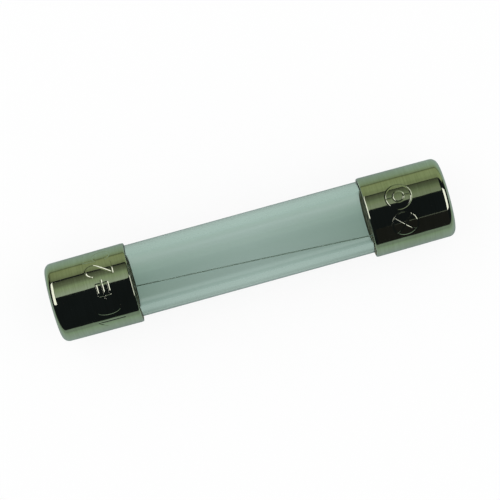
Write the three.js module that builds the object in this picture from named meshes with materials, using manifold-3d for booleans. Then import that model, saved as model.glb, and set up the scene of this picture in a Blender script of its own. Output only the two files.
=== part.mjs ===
// A glass cartridge fuse of the 1/4 in by 1-1/4 in size. Millimetres, +Z up.
// The fuse's axis is X and the origin is the middle of the fuse.
import * as THREE from 'three';
import { mergeVertices } from 'three/addons/utils/BufferGeometryUtils.js';
import Module from 'manifold-3d';

// Driving dimensions
const OVERALL_LENGTH = 31.75;
const SIDES = 48;
const ARC_STEP_DEGREES = 18;

// A drawn cup of thin sheet, a little narrower at its closed end than at its rim.
const CAP = {
  length: 6.45,
  rimRadius: 3.175,
  closedRadius: 3.13,
  boreRadius: 2.995,
  endThickness: 0.25,
  cornerRadius: 0.55,
  innerCornerRadius: 0.3,
  lip: { length: 0.2, drop: 0.05 },
};

// The tube sits a little off the caps' centre line, in the slack that the cement fills.
const TUBE = {
  length: 30.3,
  outerRadius: 2.86,
  boreRadius: 2.11,
  edgeRadius: 0.2,
  offCentreY: 0.09,
};

const CEMENT = {
  clearance: 0.01,
  setBack: 0.15,
  endGap: 0.1,
};

const SOLDER = {
  clearance: 0.02,
  poolRadius: 2.6,
  meniscusRadius: 1.95,
  meniscusHeight: 0.75,
  meniscusSteps: 5,
};

// The wire crosses the bore, from the bottom of it at -X to one side of it at +X.
const ELEMENT = {
  radius: 0.05,
  tunnelClearance: 0.03,
  sides: 12,
  steps: 40,
  bendX: 14.6,
  endX: 15.35,
  left: { y: -0.1, z: -1.7 },
  right: { y: -1.7, z: 0.6 },
};

// Positions that follow from them
const halfLength = OVERALL_LENGTH / 2;
const rimX = halfLength - CAP.length;
const capFloorX = halfLength - CAP.endThickness;
const tubeEndX = TUBE.length / 2;
const halfSide = Math.PI / SIDES;

const wasm = await Module();
wasm.setup();

// Points [x, radius] on an arc about a centre, from one angle to another. A stretch above 1
// makes it part of an ellipse that is longer along X.
function arc(centreX, centreRadius, arcRadius, fromDegrees, toDegrees, stretch = 1) {
  const turn = toDegrees - fromDegrees;
  const steps = Math.round(Math.abs(turn) / ARC_STEP_DEGREES);
  const points = [];
  for (let i = 0; i <= steps; i += 1) {
    const angle = THREE.MathUtils.degToRad(fromDegrees + (turn * i) / steps);
    points.push([
      centreX + stretch * arcRadius * Math.cos(angle),
      centreRadius + arcRadius * Math.sin(angle),
    ]);
  }
  return points;
}

// A solid of revolution about X. Its [x, radius] points start at the +X end of its outside.
function turned(points) {
  const profile = points.map(([x, radius]) => new THREE.Vector2(radius, x));
  profile.reverse();
  const geometry = new THREE.LatheGeometry(profile, SIDES, halfSide);
  geometry.rotateZ(-Math.PI / 2);
  return geometry;
}

// The same piece for the -X end, turned half way round the Y axis.
function forLeftEnd(geometry) {
  return geometry.clone().rotateY(Math.PI);
}

function toManifold(geometry) {
  const bare = geometry.clone();
  bare.deleteAttribute('normal');
  bare.deleteAttribute('uv');
  const merged = mergeVertices(bare, 1e-5);
  return new wasm.Manifold(new wasm.Mesh({
    numProp: 3,
    vertProperties: new Float32Array(merged.attributes.position.array),
    triVerts: new Uint32Array(merged.index.array),
  }));
}

function toGeometry(manifold) {
  const mesh = manifold.getMesh();
  const geometry = new THREE.BufferGeometry();
  geometry.setAttribute('position', new THREE.BufferAttribute(mesh.vertProperties, 3));
  geometry.setIndex(new THREE.BufferAttribute(mesh.triVerts, 1));
  geometry.computeVertexNormals();
  return geometry;
}

// The cap at the +X end, open towards -X, with rounded corners and a shallow lip that rolls in.
function capGeometry() {
  const { closedRadius, cornerRadius, rimRadius, lip, boreRadius, innerCornerRadius } = CAP;
  return turned([
    [halfLength, 0],
    ...arc(halfLength - cornerRadius, closedRadius - cornerRadius, cornerRadius, 0, 90),
    ...arc(rimX + lip.length, rimRadius - lip.drop, lip.drop, 90, 180, lip.length / lip.drop),
    [rimX, boreRadius],
    ...arc(capFloorX - innerCornerRadius, boreRadius - innerCornerRadius, innerCornerRadius, 90, 0),
    [capFloorX, 0],
  ]);
}

// A straight tube with fire-polished edges. Its profile closes on itself.
function tubeGeometry() {
  const edge = TUBE.edgeRadius;
  const edgeX = tubeEndX - edge;
  const outer = TUBE.outerRadius - edge;
  const inner = TUBE.boreRadius + edge;
  const profile = [
    ...arc(edgeX, outer, edge, 0, 90),
    ...arc(-edgeX, outer, edge, 90, 180),
    ...arc(-edgeX, inner, edge, 180, 270),
    ...arc(edgeX, inner, edge, 270, 360),
  ];
  return turned([...profile, profile[0]]);
}

// A sleeve that fills the slack round the tube: round outside, with its hole off centre.
function cementGeometry() {
  const fullTurn = 2 * Math.PI;
  const outline = new THREE.Shape();
  outline.absarc(0, 0, CAP.boreRadius - CEMENT.clearance, halfSide, halfSide + fullTurn);
  const hole = new THREE.Path();
  hole.absarc(0, TUBE.offCentreY, TUBE.outerRadius + CEMENT.clearance, halfSide, halfSide + fullTurn);
  outline.holes.push(hole);
  const startX = rimX + CEMENT.setBack;
  const endX = tubeEndX - CEMENT.endGap;
  const geometry = new THREE.ExtrudeGeometry(outline, {
    depth: endX - startX,
    bevelEnabled: false,
    curveSegments: SIDES / 2,
  });
  geometry.rotateY(Math.PI / 2);
  geometry.translate(startX, 0, 0);
  return geometry;
}

// A frozen pool on the cap's floor, whose meniscus stands into the tube's bore.
function solderGeometry() {
  const floorX = capFloorX - SOLDER.clearance;
  const faceX = tubeEndX + SOLDER.clearance;
  const meniscus = [];
  for (let i = 0; i <= SOLDER.meniscusSteps; i += 1) {
    const angle = (Math.PI / 2) * (i / SOLDER.meniscusSteps);
    const x = faceX - SOLDER.meniscusHeight * Math.sin(angle);
    meniscus.push([x, SOLDER.meniscusRadius * Math.cos(angle)]);
  }
  meniscus[SOLDER.meniscusSteps][1] = 0;
  return turned([
    [floorX, 0],
    [floorX, SOLDER.poolRadius],
    [faceX, SOLDER.poolRadius],
    ...meniscus,
  ]);
}

// A round bar of the given radius along the wire's path, reaching past both its ends by extra.
function elementGeometry(radius, extra) {
  const { left, right, bendX, endX, sides, steps } = ELEMENT;
  const corners = [
    new THREE.Vector3(-endX - extra, left.y, left.z),
    new THREE.Vector3(-bendX, left.y, left.z),
    new THREE.Vector3(bendX, right.y, right.z),
    new THREE.Vector3(endX + extra, right.y, right.z),
  ];
  const path = new THREE.CurvePath();
  for (let i = 1; i < corners.length; i += 1) {
    path.add(new THREE.LineCurve3(corners[i - 1], corners[i]));
  }
  const section = new THREE.Shape();
  section.absarc(0, 0, radius, 0, 2 * Math.PI);
  return new THREE.ExtrudeGeometry(section, {
    steps,
    curveSegments: sides / 2,
    extrudePath: path,
  });
}

// Where the wire enters a pool, the pool has a tunnel for it.
function withTunnel(geometry) {
  const clearance = ELEMENT.tunnelClearance;
  const tunnel = elementGeometry(ELEMENT.radius + clearance, clearance);
  return toGeometry(toManifold(geometry).subtract(toManifold(tunnel)));
}

const glass = { color: 0xb4c6c2, roughness: 0.04, metalness: 0 };
const nickelPlate = { color: 0xb9b7a6, roughness: 0.12, metalness: 1 };
const solderTin = { color: 0xa3a6a8, roughness: 0.4, metalness: 1 };
const tinnedWire = { color: 0x8d8f90, roughness: 0.3, metalness: 1 };
const capCement = { color: 0xcfc9a2, roughness: 0.7, metalness: 0 };

const fuse = new THREE.Group();

function addPart(name, geometry, finish) {
  const mesh = new THREE.Mesh(geometry, new THREE.MeshStandardMaterial(finish));
  mesh.name = name;
  fuse.add(mesh);
  return mesh;
}

addPart('glass_tube', tubeGeometry(), glass).position.set(0, TUBE.offCentreY, 0);
addPart('fuse_element', elementGeometry(ELEMENT.radius, 0), tinnedWire);
addPart('cap_right', capGeometry(), nickelPlate);
addPart('cement_right', cementGeometry(), capCement);
addPart('solder_right', withTunnel(solderGeometry()), solderTin);
addPart('cap_left', forLeftEnd(capGeometry()), nickelPlate);
addPart('cement_left', forLeftEnd(cementGeometry()), capCement);
addPart('solder_left', withTunnel(forLeftEnd(solderGeometry())), solderTin);

export default fuse;
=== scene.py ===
import math

import bmesh
import bpy
import numpy as np
from mathutils import Matrix, Vector


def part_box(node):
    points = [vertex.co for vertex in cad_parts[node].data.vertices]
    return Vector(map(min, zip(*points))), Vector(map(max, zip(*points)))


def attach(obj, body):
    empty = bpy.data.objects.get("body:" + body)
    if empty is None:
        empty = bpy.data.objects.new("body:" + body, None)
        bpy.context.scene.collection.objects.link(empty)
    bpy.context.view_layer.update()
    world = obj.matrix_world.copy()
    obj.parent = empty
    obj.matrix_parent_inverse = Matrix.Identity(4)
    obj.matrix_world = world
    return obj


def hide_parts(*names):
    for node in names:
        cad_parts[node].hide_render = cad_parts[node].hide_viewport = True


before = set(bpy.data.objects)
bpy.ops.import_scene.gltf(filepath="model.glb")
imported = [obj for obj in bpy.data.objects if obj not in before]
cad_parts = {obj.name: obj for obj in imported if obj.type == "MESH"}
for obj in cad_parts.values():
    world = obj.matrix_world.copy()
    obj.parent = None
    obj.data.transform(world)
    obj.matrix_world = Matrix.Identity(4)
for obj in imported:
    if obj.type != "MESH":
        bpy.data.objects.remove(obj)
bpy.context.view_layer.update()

# The looks of a glass cartridge fuse, built round its CAD model. Names that end in _mm hold
# millimetres, in the CAD's own frame: X along the fuse, Z up. Meshes are made in metres.
MM = 0.001
TUBE_SIDES = 160       # steps round the tube and the pieces inside
CAD_SIDES = 48         # flats round the CAD's caps and tube, one of them at the bottom

BODY = "root"
SHARP_ANGLE = math.radians(38)      # a mesh edge that turns more than this stays crisp


def box_mm(node):
    low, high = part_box(node)
    return low / MM, high / MM


def true_radius_mm(node):
    """The radius of a faceted CAD cylinder through its corners, from its height across flats."""
    low, high = box_mm(node)
    return (high.z - low.z) / 2 / math.cos(math.pi / CAD_SIDES)


# Places and sizes from the CAD
cap_low, cap_high = box_mm("cap_right")
tube_low, tube_high = box_mm("glass_tube")
cement_low, cement_high = box_mm("cement_right")
solder_low, solder_high = box_mm("solder_right")
wire_low, wire_high = box_mm("fuse_element")
rim_x_mm, end_x_mm = cap_low.x, cap_high.x
rim_radius_mm = true_radius_mm("cap_right")
tube_radius_mm = true_radius_mm("glass_tube")
tube_y_mm = (tube_low.y + tube_high.y) / 2
tube_end_x_mm = tube_high.x
floor_z_mm = -rim_radius_mm

# The CAD's sizes that its boxes don't show
CAP_CLOSED_RADIUS_MM = 3.13
CAP_BORE_RADIUS_MM = 2.995
CAP_END_THICKNESS_MM = 0.25
CAP_CORNER_MM = 0.55
CAP_INNER_CORNER_MM = 0.3
CAP_LIP_LENGTH_MM = 0.2
CAP_LIP_DROP_MM = 0.05
CAP_BORE_CHAMFER_MM = 0.01
TUBE_BORE_RADIUS_MM = 2.11
TUBE_EDGE_MM = 0.2
WIRE_RADIUS_MM = 0.05
WIRE_BEND_X_MM = 14.6
MENISCUS_RADIUS_MM = 1.95
POOL_RADIUS_MM = 2.6
POOL_EDGE_MM = 0.1
POOL_CLEARANCE_MM = 0.02            # between the solder pool and the tube's end
SNUG_MM = 0.005                     # clearance of the cement from the cap and the tube
CEMENT_PROUD_MM = 0.04              # how far the cement's front edge is squeezed out, on average
CEMENT_UNEVEN_MM = 0.05             # and how much that varies round the tube
CEMENT_SLANT_MM = 0.03              # how much further in the front edge is at the cap


# ---------------------------------------------------------------- meshes

def arc(centre_x, centre_r, radius, start_deg, end_deg, steps, stretch=1.0):
    """Points (x, r) on an arc, both ends included. stretch makes it an ellipse longer along X."""
    angles = np.radians(np.linspace(start_deg, end_deg, steps + 1))
    x = centre_x + stretch * radius * np.cos(angles)
    return list(zip(x, centre_r + radius * np.sin(angles)))


def line(start, end, steps):
    """Points from start to end, without the two ends."""
    t = np.linspace(0, 1, steps + 1)[1:-1, None]
    return [tuple(p) for p in np.array(start) * (1 - t) + np.array(end) * t]


def add_object(name, verts, faces, material, slot, *stands_for):
    """A smooth piece of the fuse from points in millimetres. It replaces the CAD nodes named in
    stands_for."""
    mesh = bpy.data.meshes.new(name)
    mesh.from_pydata([tuple(v) for v in np.asarray(verts) * MM], [], faces)
    bm = bmesh.new()
    bm.from_mesh(mesh)
    bmesh.ops.recalc_face_normals(bm, faces=bm.faces)
    bm.to_mesh(mesh)
    bm.free()
    for face in mesh.polygons:
        face.use_smooth = True
    mesh.set_sharp_from_angle(angle=SHARP_ANGLE)
    mesh.materials.append(material)
    piece = bpy.data.objects.new(name, mesh)
    bpy.context.scene.collection.objects.link(piece)
    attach(piece, BODY)
    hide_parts(*stands_for)


def even_angles():
    """Angles round the tube and the pieces inside."""
    return np.linspace(0, 2 * math.pi, TUBE_SIDES, endpoint=False)


def turned(profile, angles, shape=None, centre_y=0.0):
    """Points and faces of a solid of revolution about X. profile is (x, r) pairs from axis to
    axis, or a loop if its first point has r above 0. shape(x, angle, r) may change r; the angle
    is from +Z towards +Y."""
    loop = profile[0][1] > 0
    rings = profile if loop else profile[1:-1]
    sides = len(angles)
    x = np.array([p[0] for p in rings])[:, None] + 0 * angles
    r = np.array([p[1] for p in rings])[:, None] + 0 * angles
    if shape:
        r = shape(x, angles + 0 * x, r)
    points = np.stack([x, centre_y + r * np.sin(angles), r * np.cos(angles)], axis=-1)
    verts = points.reshape(-1, 3)
    count = len(rings)
    faces = []
    for i in range(count if loop else count - 1):
        first, second = i * sides, (i + 1) % count * sides
        for j in range(sides):
            k = (j + 1) % sides
            faces.append((first + j, first + k, second + k, second + j))
    if not loop:
        poles = len(verts)
        verts = np.vstack([verts, [profile[0][0], centre_y, 0], [profile[-1][0], centre_y, 0]])
        last = (count - 1) * sides
        for j in range(sides):
            k = (j + 1) % sides
            faces.append((poles, k, j))
            faces.append((poles + 1, last + j, last + k))
    return verts, faces


# ---------------------------------------------------------------- stamped marks

def bow(centre, radii, start_deg, end_deg, steps=18):
    """Points on an ellipse's arc, for a stroke."""
    angles = np.radians(np.linspace(start_deg, end_deg, steps + 1))
    x, y = centre
    across_r, up_r = radii
    return [(x + across_r * math.cos(a), y + up_r * math.sin(a)) for a in angles]


# Each glyph is its width and its strokes, in units of the glyph's height.
GLYPHS = {
    "1": (0.36, [[(0.0, 0.74), (0.26, 1.0), (0.26, 0.0)]]),
    "0": (0.56, [bow((0.28, 0.5), (0.27, 0.5), 0, 360, 28)]),
    "2": (0.54, [bow((0.27, 0.73), (0.25, 0.27), 165, -40) + [(0.02, 0.0), (0.53, 0.0)]]),
    "5": (0.54, [
        [(0.5, 1.0), (0.08, 1.0), (0.04, 0.56)] + bow((0.25, 0.32), (0.27, 0.32), 125, -150),
    ]),
    "fuse": (0.7, [
        [(0.0, 0.5), (0.7, 0.5)],
        [(0.12, 0.28), (0.58, 0.28), (0.58, 0.72), (0.12, 0.72), (0.12, 0.28)],
    ]),
}
RATING = ["1", "0", "fuse", "2", "5", "0"]
RATING_HEIGHT_MM = 2.05
RATING_BASE_FROM_RIM_MM = 1.22
RATING_START_DEG = -58
GLYPH_GAP = 0.17                    # in glyph heights

# Half width, wall width and depth of a pressed line
RATING_GROOVE_MM = (0.075, 0.045, 0.017)
MARK_GROOVE_MM = (0.065, 0.05, 0.017)

MARK_RADIUS_MM = 1.0
MARK_INNER_RADIUS_MM = 0.42
MARK_FROM_RIM_MM = 2.6
MARK_ANGLES_DEG = (17.5, -23.0)


def rating_strokes():
    """Strokes of the rating, as (distance round the cap, distance from the rim) in mm."""
    strokes = []
    at = math.radians(RATING_START_DEG) * rim_radius_mm / RATING_HEIGHT_MM
    for name in RATING:
        width, lines = GLYPHS[name]
        for points in lines:
            strokes.append([
                ((at + g) * RATING_HEIGHT_MM, RATING_BASE_FROM_RIM_MM + h * RATING_HEIGHT_MM)
                for g, h in points
            ])
        at += width + GLYPH_GAP
    return strokes


def mark_strokes():
    """Two rings, one with a small ring and two bars in it and one with a cross."""
    strokes = []
    centres = [(math.radians(a) * rim_radius_mm, MARK_FROM_RIM_MM) for a in MARK_ANGLES_DEG]
    for s, d in centres:
        strokes.append(bow((s, d), (MARK_RADIUS_MM, MARK_RADIUS_MM), 0, 360, 40))
    s, d = centres[0]
    strokes.append(bow((s, d), (MARK_INNER_RADIUS_MM, MARK_INNER_RADIUS_MM), 0, 360, 24))
    strokes.append([(s, d - MARK_RADIUS_MM), (s, d - MARK_INNER_RADIUS_MM)])
    strokes.append([(s, d + MARK_INNER_RADIUS_MM), (s, d + MARK_RADIUS_MM)])
    s, d = centres[1]
    reach = MARK_RADIUS_MM * math.sqrt(0.5)
    strokes.append([(s - reach, d - reach), (s + reach, d + reach)])
    strokes.append([(s - reach, d + reach), (s + reach, d - reach)])
    return strokes


def distance_to_strokes(s, d, strokes):
    """How far each point (s, d) is from the nearest stroke, in mm."""
    nearest = np.full(s.shape, 1e3)
    for points in strokes:
        for (s0, d0), (s1, d1) in zip(points, points[1:]):
            length2 = (s1 - s0) ** 2 + (d1 - d0) ** 2
            t = ((s - s0) * (s1 - s0) + (d - d0) * (d1 - d0)) / length2
            t = np.clip(t, 0, 1)
            away = np.hypot(s - s0 - t * (s1 - s0), d - d0 - t * (d1 - d0))
            nearest = np.minimum(nearest, away)
    return nearest


def smooth_step(value, low, high):
    """0 up to low and 1 from high, with a smooth rise between."""
    t = np.clip((value - low) / (high - low), 0, 1)
    return t * t * (3 - 2 * t)


# ---------------------------------------------------------------- materials

class Nodes:
    """Short calls for building one material's node tree."""

    def __init__(self, name):
        self.material = bpy.data.materials.new(name)
        self.material.use_nodes = True
        self.tree = self.material.node_tree
        self.shader = self.tree.nodes["Principled BSDF"]

    def add(self, kind, **inputs):
        node = self.tree.nodes.new("ShaderNode" + kind)
        for key, value in inputs.items():
            self.put(node, key, value)
        return node

    def put(self, node, key, value):
        """Sets or links one input. The key is its name, or _ and its number."""
        numbered = key[0] == "_"
        socket = node.inputs[int(key[1:]) if numbered else key.replace("_", " ")]
        if isinstance(value, bpy.types.NodeSocket):
            self.tree.links.new(value, socket)
        else:
            socket.default_value = value

    def math(self, operation, a, b=0.0):
        node = self.add("Math", _0=a, _1=b)
        node.operation = operation
        return node.outputs[0]

    def stretched(self, scale):
        """Object coordinates times scale, per metre."""
        place = self.add("TexCoord")
        return self.add("Mapping", Vector=place.outputs["Object"], Scale=scale).outputs["Vector"]

    def noise(self, scale, detail, roughness):
        """Noise in 0 to 1, with scale features per metre along each axis."""
        place = self.stretched(scale)
        node = self.add("TexNoise", Vector=place, Scale=1.0, Detail=detail, Roughness=roughness)
        return node.outputs["Fac"]

    def ramp(self, factor, *stops):
        """A colour ramp; each stop is (position, value or colour)."""
        node = self.add("ValToRGB", Fac=factor)
        elements = node.color_ramp.elements
        while len(elements) < len(stops):
            elements.new(0.5)
        for element, (position, value) in zip(elements, stops):
            element.position = position
            element.color = (*value, 1) if isinstance(value, tuple) else (value, value, value, 1)
        return node.outputs["Color"]

    def mixed_colour(self, factor, first, second):
        node = self.tree.nodes.new("ShaderNodeMix")
        node.data_type = "RGBA"
        node.clamp_factor = True
        self.put(node, "_0", factor)
        self.put(node, "_6", first)
        self.put(node, "_7", second)
        return node.outputs[2]

    def bump(self, height, distance):
        """A normal from a height in 0 to 1, which distance turns into metres."""
        return self.add("Bump", Height=height, Distance=distance, Strength=1.0).outputs["Normal"]

    def finish(self, **inputs):
        for key, value in inputs.items():
            self.put(self.shader, key, value)
        return self.material


def nickel_plate():
    """Bright nickel on drawn brass: mirror-like, with fine draw lines and a few handling marks."""
    n = Nodes("nickel_plate")
    place = n.add("SeparateXYZ", Vector=n.add("TexCoord").outputs["Object"])
    y, z = place.outputs["Y"], place.outputs["Z"]
    from_axis = n.math("SQRT", n.math("ADD", n.math("MULTIPLY", y, y), n.math("MULTIPLY", z, z)))
    # Runs along the barrel, and outwards from the middle on the end face
    along = n.math("SUBTRACT", n.math("ABSOLUTE", place.outputs["X"]), from_axis)
    drawn = n.add(
        "CombineXYZ",
        X=n.math("MULTIPLY", along, 9000), Y=n.math("MULTIPLY", y, 260), Z=n.math("MULTIPLY", z, 260),
    )
    streaks = n.add("TexNoise", Vector=drawn.outputs[0], Scale=1.0, Detail=4.0, Roughness=0.6)
    lines = streaks.outputs["Fac"]
    specks = n.noise((3200, 3200, 3200), 5, 0.7)
    cloud = n.noise((420, 420, 420), 4, 0.6)
    blend = n.math("ADD", n.math("MULTIPLY", cloud, 0.45), n.math("MULTIPLY", lines, 0.55))
    tint = n.ramp(blend, (0.35, (0.60, 0.62, 0.47)), (0.65, (0.76, 0.78, 0.64)))
    worn = n.math("MAXIMUM", lines, n.math("ADD", specks, 0.06))
    roughness = n.ramp(worn, (0.4, 0.035), (0.8, 0.10))
    normal = n.bump(lines, 0.5e-6)
    return n.finish(Base_Color=tint, Metallic=1.0, Roughness=roughness, Normal=normal)


def clear_glass():
    """Drawn glass: clear, with a faint grey-green tint and long, very shallow draw ripples."""
    n = Nodes("clear_glass")
    ripple = n.noise((40, 900, 900), 2, 0.5)
    cloud = n.noise((300, 300, 300), 3, 0.5)
    tint = n.ramp(cloud, (0.3, (0.94, 0.975, 0.965)), (0.7, (0.95, 0.985, 0.975)))
    normal = n.bump(ripple, 4.0e-6)
    return n.finish(
        Base_Color=tint, Metallic=0.0, Roughness=0.0, IOR=1.5, Transmission_Weight=1.0, Normal=normal,
    )


def tin_solder():
    """Solder as it froze: dull silver with a faint crystal grain."""
    n = Nodes("tin_solder")
    grain = n.noise((2600, 2600, 2600), 5, 0.65)
    tint = n.ramp(grain, (0.3, (0.50, 0.51, 0.52)), (0.7, (0.68, 0.69, 0.70)))
    roughness = n.ramp(grain, (0.3, 0.28), (0.7, 0.5))
    normal = n.bump(grain, 1.5e-5)
    return n.finish(Base_Color=tint, Metallic=1.0, Roughness=roughness, Normal=normal)


def tinned_wire():
    """Fine tinned copper wire with lengthwise draw lines."""
    n = Nodes("tinned_wire")
    lines = n.noise((500, 30000, 30000), 3, 0.6)
    tint = n.ramp(lines, (0.3, (0.40, 0.46, 0.43)), (0.7, (0.68, 0.76, 0.72)))
    roughness = n.ramp(lines, (0.3, 0.25), (0.7, 0.45))
    normal = n.bump(lines, 2.0e-6)
    return n.finish(Base_Color=tint, Metallic=1.0, Roughness=roughness, Normal=normal)


def cap_cement():
    """Pale straw cement, matte and a little grainy."""
    n = Nodes("cap_cement")
    grain = n.noise((3500, 3500, 3500), 4, 0.6)
    tint = n.ramp(grain, (0.3, (0.56, 0.54, 0.40)), (0.7, (0.78, 0.74, 0.58)))
    normal = n.bump(grain, 2.0e-5)
    return n.finish(Base_Color=tint, Metallic=0.0, Roughness=0.7, Normal=normal)


# ---------------------------------------------------------------- pieces

STAMPED_MM = (1.1, 3.75)            # the part of the barrel with marks on it, from the rim
FINE_STEP_MM = 0.025                # mesh step where the marks are
COARSE_STEP_MM = 0.12               # mesh step elsewhere
STAMP_MARGIN = 0.08                 # radians of fine mesh past the marks
WAVE_HEIGHT_MM = 0.0016             # how far the drawn sheet is from truly round


def cap_profile():
    """The cup's (x, r) points, from the middle of its end to the middle of its floor."""
    corner_x = end_x_mm - CAP_CORNER_MM
    lip_x = rim_x_mm + CAP_LIP_LENGTH_MM
    face_outer_r = rim_radius_mm - CAP_LIP_DROP_MM
    floor_x = end_x_mm - CAP_END_THICKNESS_MM
    inner_x = floor_x - CAP_INNER_CORNER_MM
    face_r = CAP_CLOSED_RADIUS_MM - CAP_CORNER_MM
    floor_r = CAP_BORE_RADIUS_MM - CAP_INNER_CORNER_MM
    stamped = [rim_x_mm + d for d in reversed(STAMPED_MM)]
    stops = [corner_x, *stamped, lip_x]
    barrel = []
    for start, end, step in zip(stops, stops[1:], (COARSE_STEP_MM, FINE_STEP_MM, COARSE_STEP_MM)):
        steps = round((start - end) / step)
        barrel += [start + (end - start) * i / steps for i in range(1, steps + 1)]
    taper = (rim_radius_mm - CAP_CLOSED_RADIUS_MM) / (corner_x - lip_x)
    lip_stretch = CAP_LIP_LENGTH_MM / CAP_LIP_DROP_MM
    bore_start = (rim_x_mm + CAP_BORE_CHAMFER_MM, CAP_BORE_RADIUS_MM)
    return [
        (end_x_mm, 0.0),
        *line((end_x_mm, 0.0), (end_x_mm, face_r), 8),
        *arc(corner_x, face_r, CAP_CORNER_MM, 0, 90, 20),
        *[(x, CAP_CLOSED_RADIUS_MM + taper * (corner_x - x)) for x in barrel[:-1]],
        *arc(lip_x, face_outer_r, CAP_LIP_DROP_MM, 90, 180, 12, lip_stretch),
        (rim_x_mm, CAP_BORE_RADIUS_MM + CAP_BORE_CHAMFER_MM),
        bore_start,
        *line(bore_start, (inner_x, CAP_BORE_RADIUS_MM), 12),
        *arc(inner_x, floor_r, CAP_INNER_CORNER_MM, 90, 0, 6),
        *line((floor_x, floor_r), (floor_x, 0.0), 3),
        (floor_x, 0.0),
    ]


def cap_angles(strokes):
    """Angles round the cap, close together where strokes are pressed in."""
    reach = [s / rim_radius_mm for points in strokes for s, d in points]
    low = min(reach) - STAMP_MARGIN
    high = max(reach) + STAMP_MARGIN
    fine = round((high - low) * rim_radius_mm / FINE_STEP_MM)
    coarse = round((2 * math.pi - high + low) * rim_radius_mm / COARSE_STEP_MM)
    return np.concatenate([
        np.linspace(low, high, fine, endpoint=False),
        np.linspace(high, low + 2 * math.pi, coarse, endpoint=False),
    ])


def make_cap(name, side, strokes, groove, seed, material):
    """side is +1 for the right cap and -1 for the left one, whose closed end looks towards -X.
    strokes are pressed into the barrel; groove is their half width, wall width and depth in mm."""
    half_mm, wall_mm, depth_mm = groove
    barrel_low = rim_x_mm + CAP_LIP_LENGTH_MM
    barrel_high = end_x_mm - CAP_CORNER_MM
    skin_mm = CAP_BORE_RADIUS_MM + 0.05      # what is further out than this is the outside
    phases = np.random.default_rng(seed).uniform(0, 2 * math.pi, 6)

    def shape(x, angle, r):
        outside = r > skin_mm
        on_barrel = outside & (x > barrel_low) & (x < barrel_high)
        wave = (
            np.sin(2 * angle + phases[0])
            + 0.6 * np.sin(3 * angle + 0.9 * x + phases[1])
            + 0.5 * np.sin(5 * angle - 1.3 * x + phases[2])
            + 0.25 * np.sin(11 * angle + 2.1 * x + phases[3])
            + 0.2 * np.sin(17 * angle - 3.7 * x + phases[4])
        )
        r = r + np.where(outside, WAVE_HEIGHT_MM * wave, 0)
        away = distance_to_strokes(angle * rim_radius_mm, x - rim_x_mm, strokes)
        dent = 1 - smooth_step(away, half_mm - wall_mm, half_mm)
        return r - np.where(on_barrel, depth_mm * dent, 0)

    verts, faces = turned(cap_profile(), cap_angles(strokes), shape)
    verts = verts * np.array([side, 1, 1])
    add_object(name, verts, faces, material, "nickel_plate", name.replace("plated_", ""))


def make_tube(material):
    """A plain tube whose ends are fire-polished round."""
    edge = TUBE_EDGE_MM
    edge_x = tube_end_x_mm - edge
    outer, inner = tube_radius_mm - edge, TUBE_BORE_RADIUS_MM + edge
    profile = [
        *arc(edge_x, outer, edge, 0, 90, 8),
        *line((edge_x, tube_radius_mm), (-edge_x, tube_radius_mm), 60),
        *arc(-edge_x, outer, edge, 90, 180, 8),
        *arc(-edge_x, inner, edge, 180, 270, 8),
        *line((-edge_x, TUBE_BORE_RADIUS_MM), (edge_x, TUBE_BORE_RADIUS_MM), 60),
        *arc(edge_x, inner, edge, 270, 360, 8),
    ]
    verts, faces = turned(profile, even_angles(), None, tube_y_mm)
    add_object("clear_tube", verts, faces, material, "glass", "glass_tube")


def make_wire(material):
    """A round wire along a chosen line, its ends bent to enter the solder straight."""
    r = WIRE_RADIUS_MM
    left = Vector((-WIRE_BEND_X_MM, wire_high.y - r, wire_low.z + r))
    right = Vector((WIRE_BEND_X_MM, wire_low.y + r, wire_high.z - r))
    reach = Vector((wire_high.x - WIRE_BEND_X_MM, 0, 0))
    curve = bpy.data.curves.new("element_wire", "CURVE")
    curve.dimensions = "3D"
    curve.bevel_depth = r * MM
    curve.bevel_resolution = 5
    curve.use_fill_caps = True
    points = [left - reach, left - reach * 0.25]
    points += [left.lerp(right, t) for t in np.linspace(0.02, 0.98, 25)]
    points += [right + reach * 0.25, right + reach]
    spline = curve.splines.new("NURBS")
    spline.points.add(len(points) - 1)
    for point, place in zip(spline.points, points):
        point.co = (*(place * MM), 1)
    spline.use_endpoint_u = True
    spline.order_u = 3
    holder = bpy.data.objects.new("element_wire", curve)
    bpy.context.scene.collection.objects.link(holder)
    depsgraph = bpy.context.evaluated_depsgraph_get()
    mesh = bpy.data.meshes.new_from_object(holder.evaluated_get(depsgraph))
    bpy.data.objects.remove(holder)
    verts = np.array([v.co for v in mesh.vertices]) / MM
    faces = [tuple(p.vertices) for p in mesh.polygons]
    add_object("element_wire", verts, faces, material, "tinned_wire", "fuse_element")


def make_solder(name, side, seed, material):
    """A frozen pool with an uneven meniscus."""
    floor_x, tip_x = solder_high.x, solder_low.x
    face_x = tube_end_x_mm + POOL_CLEARANCE_MM
    rise = face_x - tip_x
    edge_r = POOL_RADIUS_MM - POOL_EDGE_MM
    angles = np.radians(np.linspace(0, 90, 13))
    dome = [(face_x - rise * math.sin(a), MENISCUS_RADIUS_MM * math.cos(a)) for a in angles[:-1]]
    profile = [
        (floor_x, 0.0),
        *line((floor_x, 0.0), (floor_x, POOL_RADIUS_MM), 4),
        *arc(floor_x - POOL_EDGE_MM, edge_r, POOL_EDGE_MM, 0, 90, 4),
        *arc(face_x + POOL_EDGE_MM, edge_r, POOL_EDGE_MM, 90, 180, 4),
        *line((face_x, edge_r), dome[0], 4),
        *dome,
        (tip_x, 0.0),
    ]
    phases = np.random.default_rng(seed).uniform(0, 2 * math.pi, 2)

    def shape(x, angle, r):
        uneven = 0.03 * np.sin(2 * angle + phases[0]) + 0.02 * np.sin(3 * angle + phases[1])
        return np.where(x < face_x, r * (1 + uneven), r)

    verts, faces = turned(profile, even_angles(), shape)
    verts = verts * np.array([side, 1, 1])
    add_object("frozen_" + name, verts, faces, material, "solder", name)


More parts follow.
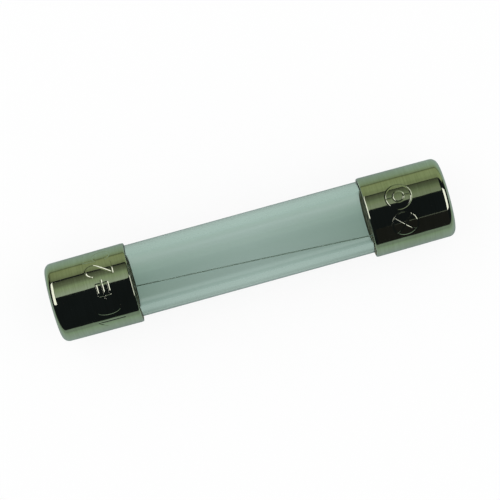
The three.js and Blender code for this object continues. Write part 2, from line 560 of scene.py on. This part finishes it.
def make_cement(name, side, seed, material):
    """A sleeve between tube and cap, whose front edge is uneven where it squeezed out."""
    sides = TUBE_SIDES
    angles = even_angles()
    phases = np.random.default_rng(seed).uniform(0, 2 * math.pi, 4)
    uneven = sum(np.sin(k * angles + p) / k for k, p in zip((2, 3, 5, 9), phases))
    front = cement_low.x - CEMENT_PROUD_MM + CEMENT_UNEVEN_MM * uneven
    back = cement_high.x + 0 * angles
    outer = CAP_BORE_RADIUS_MM - SNUG_MM
    inner = tube_radius_mm + SNUG_MM
    rings = []
    for x, radius, centre in (
        (front + CEMENT_SLANT_MM, outer, 0.0),
        (back, outer, 0.0),
        (back, inner, tube_y_mm),
        (front, inner, tube_y_mm),
    ):
        y, z = centre + radius * np.sin(angles), radius * np.cos(angles)
        rings.append(np.stack([side * x, y, z], axis=-1))
    verts = np.concatenate(rings)
    faces = []
    for i in range(4):
        for j in range(sides):
            k = (j + 1) % sides
            a, b = i * sides, (i + 1) % 4 * sides
            faces.append((a + j, a + k, b + k, b + j))
    add_object("bond_" + name, verts, faces, material, "cement", name)


nickel = nickel_plate()
solder = tin_solder()
cement = cap_cement()
make_tube(clear_glass())
make_wire(tinned_wire())
make_cap("plated_cap_right", 1, mark_strokes(), MARK_GROOVE_MM, 3, nickel)
make_cap("plated_cap_left", -1, rating_strokes(), RATING_GROOVE_MM, 8, nickel)
for cad_name, side, seed in (("solder_right", 1, 1), ("solder_left", -1, 2)):
    make_solder(cad_name, side, seed, solder)
for cad_name, side, seed in (("cement_right", 1, 5), ("cement_left", -1, 6)):
    make_cement(cad_name, side, seed, cement)


# ---------------------------------------------------------------- camera

CAMERA_HEIGHT_MM = 160.0
CAMERA_X_MM = -1.5
CAMERA_ROLL_DEG = -15.4
CAMERA_LENS_MM = 147.5

camera_data = bpy.data.cameras.new("camera")
camera_data.lens = CAMERA_LENS_MM
camera_data.sensor_width = 36
camera_data.clip_start = 0.01
camera_data.clip_end = 10
camera = bpy.data.objects.new("camera", camera_data)
bpy.context.scene.collection.objects.link(camera)
place = Vector((CAMERA_X_MM, 0, CAMERA_HEIGHT_MM))
tilt = math.atan2(-CAMERA_X_MM, CAMERA_HEIGHT_MM)
camera.matrix_world = (
    Matrix.Translation(place * MM)
    @ Matrix.Rotation(-tilt, 4, "Y")
    @ Matrix.Rotation(math.radians(CAMERA_ROLL_DEG), 4, "Z")
)
bpy.context.scene.camera = camera


# ---------------------------------------------------------------- stage and light

FLOOR_HALF_MM = 1500


def stage_mesh(name, corners_mm, faces, material):
    """A flat mesh that belongs to the stage and not to the fuse."""
    mesh = bpy.data.meshes.new(name)
    mesh.from_pydata([Vector(c) * MM for c in corners_mm], [], faces)
    mesh.materials.append(material)
    plane = bpy.data.objects.new(name, mesh)
    bpy.context.scene.collection.objects.link(plane)
    return plane


def surface_of(n, shader):
    """Makes shader the material's surface in place of the Principled node."""
    output = next(node for node in n.tree.nodes if node.type == "OUTPUT_MATERIAL")
    n.tree.links.new(shader.outputs[0], output.inputs["Surface"])
    n.tree.nodes.remove(n.shader)
    return n.material


def mixed(n, factor, first, second):
    """The first shader where factor is 0 and the second where it is 1."""
    mix = n.add("MixShader", Fac=factor)
    n.tree.links.new(first.outputs[0], mix.inputs[1])
    n.tree.links.new(second.outputs[0], mix.inputs[2])
    return mix


def floor_material():
    """Pale to the camera. In the metal it is soft grey-green paper, darker further out, and
    through the glass it is a grey-green glow of painted light, with painted shade of the fuse under
    its middle and painted shadow of the caps, dimmer towards them."""
    n = Nodes("floor")
    path = n.add("LightPath")
    pale = mixed(
        n, 0.1,
        n.add("Emission", Color=(0.98, 0.98, 0.98, 1), Strength=1.0),
        n.add("BsdfDiffuse", Color=(0.9, 0.9, 0.9, 1)),
    )
    place = n.add("SeparateXYZ", Vector=n.add("TexCoord").outputs["Object"])
    paper = n.ramp(
        n.math("ADD", n.math("DIVIDE", place.outputs["Y"], 60 * MM), 0.5),
        (0.05, (0.155, 0.205, 0.165)), (0.19, (0.198, 0.275, 0.205)),
        (0.34, (0.235, 0.305, 0.27)), (0.45, (0.26, 0.32, 0.32)),
        (0.55, (0.262, 0.325, 0.325)), (0.625, (0.235, 0.318, 0.27)),
        (0.80, (0.19, 0.25, 0.165)), (0.925, (0.15, 0.19, 0.12)),
    )
    sideways = n.math("ADD", n.math("DIVIDE", place.outputs["Y"], 16 * MM), 0.5)
    # Painted light glowing from the floor under the glass, with painted shade of the fuse darkest
    # under the middle of the tube
    fuse_shade_glow = n.ramp(
        sideways,
        (0.12, (0.395, 0.50, 0.462)), (0.20, (0.39, 0.495, 0.455)), (0.30, (0.33, 0.42, 0.38)),
        (0.335, (0.385, 0.475, 0.44)), (0.352, (0.375, 0.465, 0.43)), (0.375, (0.32, 0.402, 0.37)),
        (0.50, (0.322, 0.412, 0.373)), (0.57, (0.355, 0.45, 0.41)), (0.64, (0.435, 0.53, 0.495)),
        (0.675, (0.385, 0.48, 0.44)), (0.80, (0.41, 0.53, 0.485)),
    )
    # The same painted glow, darker with the painted shadow of the caps
    cap_shade_glow = n.ramp(
        sideways,
        (0.12, (0.335, 0.435, 0.395)), (0.20, (0.31, 0.405, 0.368)), (0.30, (0.23, 0.308, 0.27)),
        (0.335, (0.305, 0.385, 0.345)), (0.352, (0.295, 0.375, 0.33)), (0.375, (0.222, 0.30, 0.255)),
        (0.50, (0.222, 0.305, 0.262)), (0.57, (0.265, 0.36, 0.31)), (0.64, (0.375, 0.465, 0.415)),
        (0.675, (0.38, 0.475, 0.43)), (0.80, (0.365, 0.48, 0.43)),
    )
    lengthways = n.math("ADD", n.math("DIVIDE", place.outputs["X"], 2 * rim_x_mm * MM), 0.5)
    # How much of the caps' painted shadow there is at each place along the fuse
    cap_shade_share = n.ramp(
        lengthways,
        (0.0, 1.0), (0.1, 0.6), (0.3, 0.2), (0.5, 0.0), (0.7, 0.2), (0.9, 0.57), (1.0, 0.85),
    )
    # Painted light and shade of the floor as it is seen through the glass
    painted_glow_under_glass = n.mixed_colour(cap_shade_share, fuse_shade_glow, cap_shade_glow)
    solid = n.add("BsdfDiffuse", Color=paper)
    glow = n.add("Emission", Color=painted_glow_under_glass, Strength=1.0)
    through_glass = mixed(n, path.outputs["Is Transmission Ray"], solid, glow)
    return surface_of(n, mixed(n, path.outputs["Is Camera Ray"], through_glass, pale))


def stage_floor():
    """The plain floor that the fuse lies on."""
    half = FLOOR_HALF_MM
    corners = [(x * half, y * half, floor_z_mm) for x, y in ((-1, -1), (1, -1), (1, 1), (-1, 1))]
    stage_mesh("floor", corners, [(0, 1, 2, 3)], floor_material())


def card(name, rows):
    """A glowing card that only reflections see. Each row is a list of (corner, colour), and the
    colours blend from corner to corner."""
    n = Nodes(name)
    tint = n.add("Attribute")
    tint.attribute_name = "tint"
    glow = n.add("Emission", Color=tint.outputs["Color"], Strength=1.0)
    width = len(rows[0])
    corners = [corner for row in rows for corner, colour in row]
    colours = [colour for row in rows for corner, colour in row]
    faces = []
    for start in range(0, width * (len(rows) - 1), width):
        for k in range(start, start + width - 1):
            faces.append((k, k + 1, k + width + 1, k + width))
    plane = stage_mesh(name, corners, faces, surface_of(n, glow))
    layer = plane.data.color_attributes.new("tint", "FLOAT_COLOR", "POINT")
    for item, colour in zip(layer.data, colours):
        item.color = (*colour, 1)
    plane.visible_camera = False
    plane.visible_diffuse = False
    plane.visible_transmission = False
    plane.visible_volume_scatter = False
    plane.visible_shadow = False


def across(x_mm, angle_deg, distance_mm, colour):
    """A corner at that distance from the fuse's axis, the angle being from +Z towards +Y."""
    angle = math.radians(angle_deg)
    return (x_mm, distance_mm * math.sin(angle), distance_mm * math.cos(angle)), colour


def stage_cards():
    """What stands round the fuse, for its reflections only."""
    # A glowing card for a wall of paper overhead on the +Y side, with painted light brighter towards
    # the top and the left
    card("upper_card", [
        [across(-42, 14.0, 150, (0.37, 0.44, 0.37)), across(44, 20.2, 150, (0.20, 0.24, 0.16))],
        [across(-42, 34.5, 150, (0.28, 0.36, 0.23)), across(44, 34.0, 150, (0.18, 0.22, 0.135))],
        [across(-42, 45.0, 150, (0.14, 0.17, 0.11)), across(44, 45.0, 150, (0.11, 0.14, 0.085))],
        [across(-42, 60.6, 150, (0.06, 0.07, 0.045)), across(44, 58.4, 150, (0.06, 0.07, 0.045))],
    ])
    # A low olive card that stands on the paper beside the fuse, in its own shade at the foot
    # and at its left end
    card("low_card", [
        [((x, 28.5, z), colour) for x, z, colour in zip((-34, -17, 60), heights, colours)]
        for heights, *colours in (
            ((13.6, 14.9, 20.8), (0.02, 0.025, 0.015), (0.167, 0.195, 0.116), (0.27, 0.33, 0.18)),
            ((7.4, 7.7, 9.0), (0.03, 0.035, 0.02), (0.239, 0.287, 0.16), (0.29, 0.37, 0.195)),
            ((0.0, 0.0, 0.0), (0.04, 0.045, 0.025), (0.248, 0.292, 0.158), (0.28, 0.35, 0.19)),
            ((-1.6, -1.6, -1.6), (0.04, 0.045, 0.025), (0.194, 0.232, 0.117), (0.20, 0.25, 0.13)),
            ((floor_z_mm,) * 3, (0.03, 0.035, 0.02), (0.06, 0.074, 0.037), (0.06, 0.08, 0.04)),
        )
    ])
    # A dim card on the -Y side that shows in the right cap only, and the paler edge over it
    dim, edge = (0.0125, 0.013, 0.0125), (0.17, 0.19, 0.16)
    card("dim_card", [
        [across(16, -39.0, 100, dim), across(50, -39.0, 100, dim)],
        [across(16, -88.0, 100, dim), across(50, -88.0, 100, dim)],
    ])
    card("dim_card_edge", [
        [across(21, -39.2, 99, edge), across(50, -39.2, 99, edge)],
        [across(21, -40.6, 99, edge), across(50, -40.6, 99, edge)],
    ])


def stage_world():
    """Soft daylight, but a dark room behind the cards for reflections, and a dim one for rays
    that leave through the glass."""
    made = bpy.data.worlds.new("studio")
    bpy.context.scene.world = made
    made.use_nodes = True
    tree = made.node_tree
    nodes, links = tree.nodes, tree.links
    path = nodes.new("ShaderNodeLightPath")
    seen = nodes["Background"].outputs[0]
    nodes["Background"].inputs["Color"].default_value = (0.95, 0.96, 0.96, 1)
    for ray, colour in (
        ("Is Glossy Ray", (0.0075, 0.0098, 0.0113, 1)),
        ("Is Transmission Ray", (0.16, 0.20, 0.16, 1)),
    ):
        room = nodes.new("ShaderNodeBackground")
        room.inputs["Color"].default_value = colour
        mix = nodes.new("ShaderNodeMixShader")
        links.new(path.outputs[ray], mix.inputs["Fac"])
        links.new(seen, mix.inputs[1])
        links.new(room.outputs[0], mix.inputs[2])
        seen = mix.outputs[0]
    links.new(seen, nodes["World Output"].inputs["Surface"])


def softbox(name, x_mm, y_mm, z_mm, width_mm, depth_mm, radiance):
    """A rectangular light that faces straight down, as bright as radiance whatever its size."""
    data = bpy.data.lights.new(name, "AREA")
    data.shape = "RECTANGLE"
    data.size = width_mm * MM
    data.size_y = depth_mm * MM
    data.energy = radiance * math.pi * data.size * data.size_y
    light = bpy.data.objects.new(name, data)
    bpy.context.scene.collection.objects.link(light)
    light.location = Vector((x_mm, y_mm, z_mm)) * MM


stage_floor()
stage_cards()
stage_world()
softbox("softbox_left", -360, 355, 380, 480, 774, 1.3)
softbox("softbox_right", 416, -75, 380, 414, 530, 1.3)

bpy.context.scene.view_settings.view_transform = "Standard"
